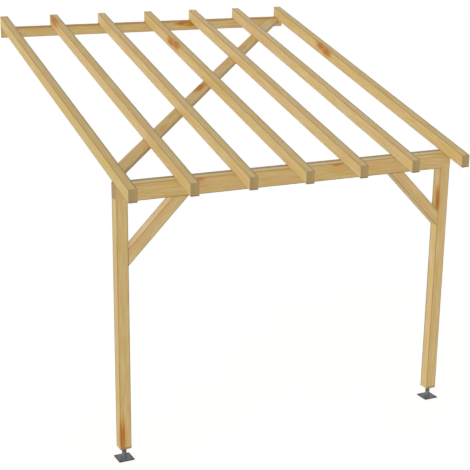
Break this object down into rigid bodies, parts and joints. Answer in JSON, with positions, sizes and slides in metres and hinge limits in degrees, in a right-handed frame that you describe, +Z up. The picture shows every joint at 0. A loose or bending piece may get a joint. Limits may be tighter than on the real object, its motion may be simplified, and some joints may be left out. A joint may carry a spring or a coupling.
{
  "type": "lean-to carport frame",
  "caption": "Open timber lean-to carport frame: sloping rafters between a wall plate and a front beam on two knee-braced posts with steel feet.",
  "frame": {"origin": "middle of the wall plate's back face, which lies against the wall", "axes": "+X along the beam to the right as seen from the front, +Y into the wall, +Z up"},
  "size_m": [3.11, 3.335, 3.3049],
  "materials": {
    "planed_softwood": "planed and glazed honey-coloured spruce",
    "foot_steel": "dark grey coated steel"
  },
  "bodies": {
    "root": {"wall_plate": "planed_softwood", "front_beam": "planed_softwood", "diagonal_brace": "planed_softwood", "left_post": "planed_softwood", "right_post": "planed_softwood", "left_knee_brace": "planed_softwood", "right_knee_brace": "planed_softwood", "rafter_1": "planed_softwood", "rafter_2": "planed_softwood", "rafter_3": "planed_softwood", "rafter_4": "planed_softwood", "rafter_5": "planed_softwood", "rafter_6": "planed_softwood", "rafter_7": "planed_softwood", "left_foot_base_plate": "foot_steel", "left_foot_stem": "foot_steel", "left_foot_top_plate": "foot_steel", "right_foot_base_plate": "foot_steel", "right_foot_stem": "foot_steel", "right_foot_top_plate": "foot_steel"}
  },
  "joints": []
}
